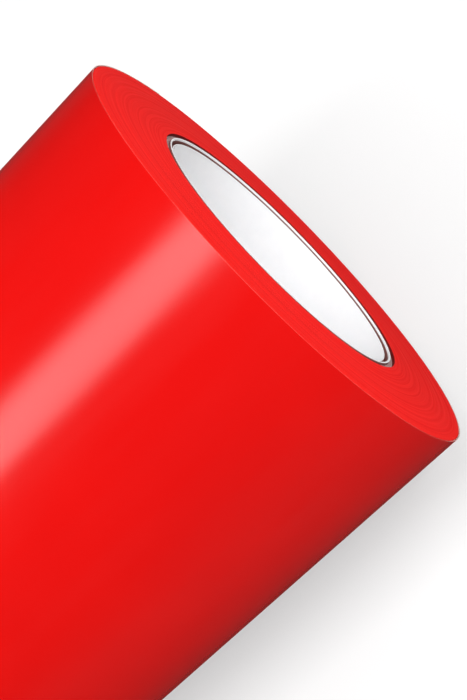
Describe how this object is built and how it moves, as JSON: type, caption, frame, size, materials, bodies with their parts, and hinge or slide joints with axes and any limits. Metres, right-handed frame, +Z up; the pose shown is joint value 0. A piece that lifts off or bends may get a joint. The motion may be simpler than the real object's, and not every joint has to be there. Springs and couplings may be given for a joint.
{
  "type": "roll of sign vinyl",
  "caption": "Wide roll of glossy red self-adhesive sign vinyl on a white-lined board core with plastic end rings, lying on its side.",
  "frame": {"origin": "on the surface that the roll lies on, under the middle of its axis", "axes": "+X along the axis of the roll towards the near end, +Z up, +Y towards the side that the loose tail of the web lies on"},
  "size_m": [0.61, 0.1315, 0.1314],
  "materials": {
    "board": "matte",
    "white_lining": "satin",
    "outer_ply": "matte",
    "ring_plastic": "gloss",
    "film": "gloss",
    "web_edge": "satin",
    "adhesive": "gloss",
    "liner": "satin",
    "tape": "gloss",
    "label": "matte"
  },
  "bodies": {
    "roll": {"core_board_plies": "board", "core_lining_ply": "white_lining", "core_outer_ply": "outer_ply", "start_tape": "tape", "wound_web": "web_edge", "last_turn_liner": "liner", "last_turn_adhesive": "adhesive", "last_turn_film": "film", "core_label": "label"},
    "near_ring": {"end_ring_near": "ring_plastic"},
    "far_ring": {"end_ring_far": "ring_plastic"},
    "tail": {"tail_liner": "liner", "tail_adhesive": "adhesive", "tail_film": "film", "tail_tape_left": "tape", "tail_tape_middle": "tape", "tail_tape_right": "tape"}
  },
  "joints": [
    {"name": "near_ring_pull", "type": "slide", "parent": "roll", "child": "near_ring", "axis": [1, 0, 0], "range_m": [0, 0.03]},
    {"name": "far_ring_pull", "type": "slide", "parent": "roll", "child": "far_ring", "axis": [-1, 0, 0], "range_m": [0, 0.03]},
    {"name": "tail_lift", "type": "hinge", "parent": "roll", "child": "tail", "pos_m": [0, 0.05033, 0.10793], "axis": [1, 0, 0], "range_deg": [0, 90]}
  ]
}
